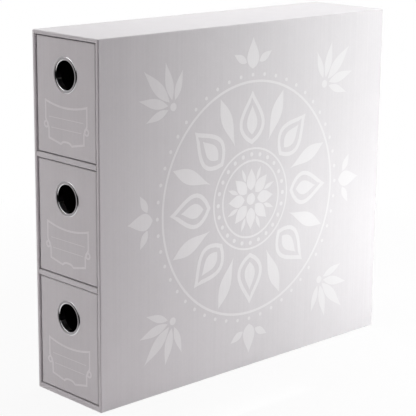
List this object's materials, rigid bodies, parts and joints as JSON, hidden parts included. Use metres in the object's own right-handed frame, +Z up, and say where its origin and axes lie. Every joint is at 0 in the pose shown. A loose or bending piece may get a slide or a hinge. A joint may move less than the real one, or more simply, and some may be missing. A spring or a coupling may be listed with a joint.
{
  "type": "trading card drawer box",
  "caption": "Tall narrow paper-covered board case with stacked pull-out card drawers, each with a round metal finger ring.",
  "frame": {"origin": "on the surface that the case stands on, under the middle of the case", "axes": "+Z up, +X to the right when one faces the drawer fronts, +Y from the drawer fronts to the back; the drawers slide out along -Y"},
  "size_m": [0.098, 0.4, 0.36],
  "materials": {
    "cover_paper": "satin laminated",
    "grey_board": "raw",
    "lining_paper": "matte",
    "dark_paper": "matte",
    "chrome": "polished",
    "plain_steel": "plain zinc"
  },
  "bodies": {
    "case": {"case_left_board": "grey_board", "case_right_board": "grey_board", "case_back_board": "grey_board", "case_top_board": "grey_board", "case_base_board": "grey_board", "case_cover_sheet": "cover_paper", "case_back_sheet": "cover_paper", "case_base_sheet": "cover_paper", "shelf_lower_board": "grey_board", "shelf_lower_sheet": "cover_paper", "shelf_upper_board": "grey_board", "shelf_upper_sheet": "cover_paper", "bay_lower_lining": "lining_paper", "bay_middle_lining": "lining_paper", "bay_upper_lining": "lining_paper"},
    "drawer_lower": {"drawer_lower_left_board": "grey_board", "drawer_lower_right_board": "grey_board", "drawer_lower_front_board": "grey_board", "drawer_lower_back_board": "grey_board", "drawer_lower_floor_board": "grey_board", "drawer_lower_cover_sheet": "cover_paper", "drawer_lower_lining": "dark_paper", "drawer_lower_panel_board": "grey_board", "drawer_lower_panel_sheet": "cover_paper", "drawer_lower_finger_ring": "chrome", "drawer_lower_ring_washer": "plain_steel"},
    "drawer_middle": {"drawer_middle_left_board": "grey_board", "drawer_middle_right_board": "grey_board", "drawer_middle_front_board": "grey_board", "drawer_middle_back_board": "grey_board", "drawer_middle_floor_board": "grey_board", "drawer_middle_cover_sheet": "cover_paper", "drawer_middle_lining": "dark_paper", "drawer_middle_panel_board": "grey_board", "drawer_middle_panel_sheet": "cover_paper", "drawer_middle_finger_ring": "chrome", "drawer_middle_ring_washer": "plain_steel"},
    "drawer_upper": {"drawer_upper_left_board": "grey_board", "drawer_upper_right_board": "grey_board", "drawer_upper_front_board": "grey_board", "drawer_upper_back_board": "grey_board", "drawer_upper_floor_board": "grey_board", "drawer_upper_cover_sheet": "cover_paper", "drawer_upper_lining": "dark_paper", "drawer_upper_panel_board": "grey_board", "drawer_upper_panel_sheet": "cover_paper", "drawer_upper_finger_ring": "chrome", "drawer_upper_ring_washer": "plain_steel"}
  },
  "joints": [
    {"name": "lower_drawer_slide", "type": "slide", "parent": "case", "child": "drawer_lower", "axis": [0, -1, 0], "range_m": [0, 0.3]},
    {"name": "middle_drawer_slide", "type": "slide", "parent": "case", "child": "drawer_middle", "axis": [0, -1, 0], "range_m": [0, 0.3]},
    {"name": "upper_drawer_slide", "type": "slide", "parent": "case", "child": "drawer_upper", "axis": [0, -1, 0], "range_m": [0, 0.3]}
  ]
}
